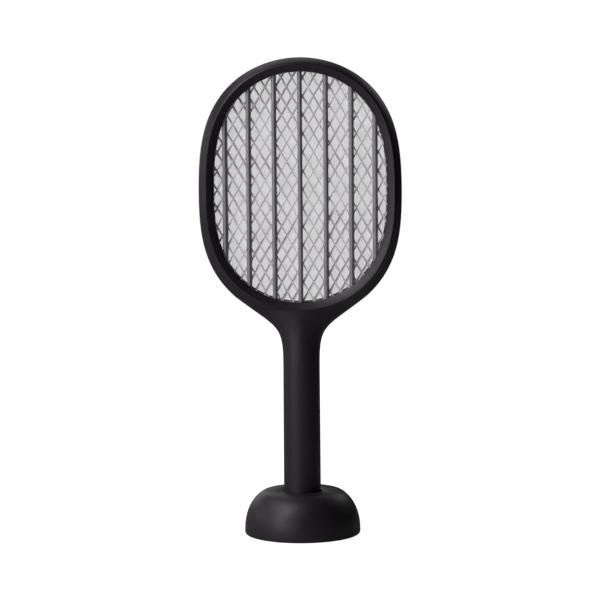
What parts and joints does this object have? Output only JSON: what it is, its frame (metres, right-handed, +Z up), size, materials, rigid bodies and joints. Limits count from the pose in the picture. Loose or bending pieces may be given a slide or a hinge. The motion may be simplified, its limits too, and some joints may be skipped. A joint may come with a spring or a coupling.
{
  "type": "electric fly swatter",
  "caption": "Electric fly swatter: oval mesh head with upright guard rods on a round handle, standing upright in a low domed charging dock.",
  "frame": {"origin": "centre of the dock's underside, on the surface it stands on", "axes": "+Z up along the handle, -Y the plain front of the head, +Y the side with the trigger and slider, +X to the right seen from the front"},
  "size_m": [0.2032, 0.117, 0.479],
  "materials": {
    "casing": "fine matte moulded texture",
    "guard": "satin grey",
    "mesh": "plain expanded sheet",
    "net": "fine crossed wire",
    "insulator": "plain",
    "rubber": "matt",
    "steel": "plain",
    "contacts": "polished",
    "board": "green laminate",
    "cell": "sleeved",
    "winding": "varnished wire",
    "ferrite": "grey ferrite",
    "film": "dipped",
    "ceramic": "dipped",
    "chip": "moulded",
    "lens": "clear",
    "lead": "insulated wire"
  },
  "bodies": {
    "dock": {"base_dome": "casing", "socket_cup": "casing", "bottom_plate": "casing", "foot_ring": "rubber", "ballast_ring": "steel", "dock_board": "board", "charge_chip": "chip", "charging_inlet": "steel", "base_screw_1": "steel", "base_screw_2": "steel", "base_screw_3": "steel", "pin_barrel_left": "contacts", "pin_barrel_right": "contacts"},
    "swatter": {"front_shell": "casing", "rear_shell": "casing", "end_cap": "casing", "front_guard": "guard", "rear_guard": "guard", "front_mesh": "mesh", "rear_mesh": "mesh", "middle_net": "net", "front_spacer": "insulator", "rear_spacer": "insulator", "battery_cradle": "insulator", "casing_screw_1": "steel", "casing_screw_2": "steel", "casing_screw_3": "steel", "casing_screw_4": "steel", "casing_screw_5": "steel", "casing_screw_6": "steel", "casing_screw_7": "steel", "casing_screw_8": "steel", "casing_screw_9": "steel", "battery_spring_contact": "steel", "battery_plain_contact": "steel", "slide_switch": "steel", "contact_pad_left": "contacts", "contact_pad_right": "contacts", "circuit_board": "board", "battery_cell": "cell", "transformer_winding": "winding", "transformer_core": "ferrite", "storage_capacitor": "film", "multiplier_capacitor": "ceramic", "rectifier_diode_left": "chip", "rectifier_diode_right": "chip", "switching_transistor": "chip", "trigger_switch": "chip", "indicator_lamp": "lens", "indicator_lens": "lens", "front_mesh_lead": "lead", "rear_mesh_lead": "lead", "middle_net_lead": "lead"},
    "trigger": {"trigger_button": "rubber", "switch_plunger": "steel"},
    "slider": {"power_slider": "casing", "slide_lever": "chip"},
    "left_pin": {"spring_pin_left": "contacts"},
    "right_pin": {"spring_pin_right": "contacts"}
  },
  "joints": [
    {"name": "swatter_lift", "type": "slide", "parent": "dock", "child": "swatter", "axis": [0, 0, 1], "range_m": [0, 0.06]},
    {"name": "trigger_press", "type": "slide", "parent": "swatter", "child": "trigger", "axis": [0, -1, 0], "range_m": [0, 0.001], "stiffness_N_per_m": 1500},
    {"name": "slider_travel", "type": "slide", "parent": "swatter", "child": "slider", "axis": [0, 0, 1], "range_m": [0, 0.006]},
    {"name": "left_pin_press", "type": "slide", "parent": "dock", "child": "left_pin", "axis": [0, 0, -1], "range_m": [0, 0.001], "stiffness_N_per_m": 400},
    {"name": "right_pin_press", "type": "slide", "parent": "dock", "child": "right_pin", "axis": [0, 0, -1], "range_m": [0, 0.001], "stiffness_N_per_m": 400}
  ],
  "couplings": [
    {"joint": "right_pin_press", "follows": "left_pin_press", "ratio": 1}
  ]
}
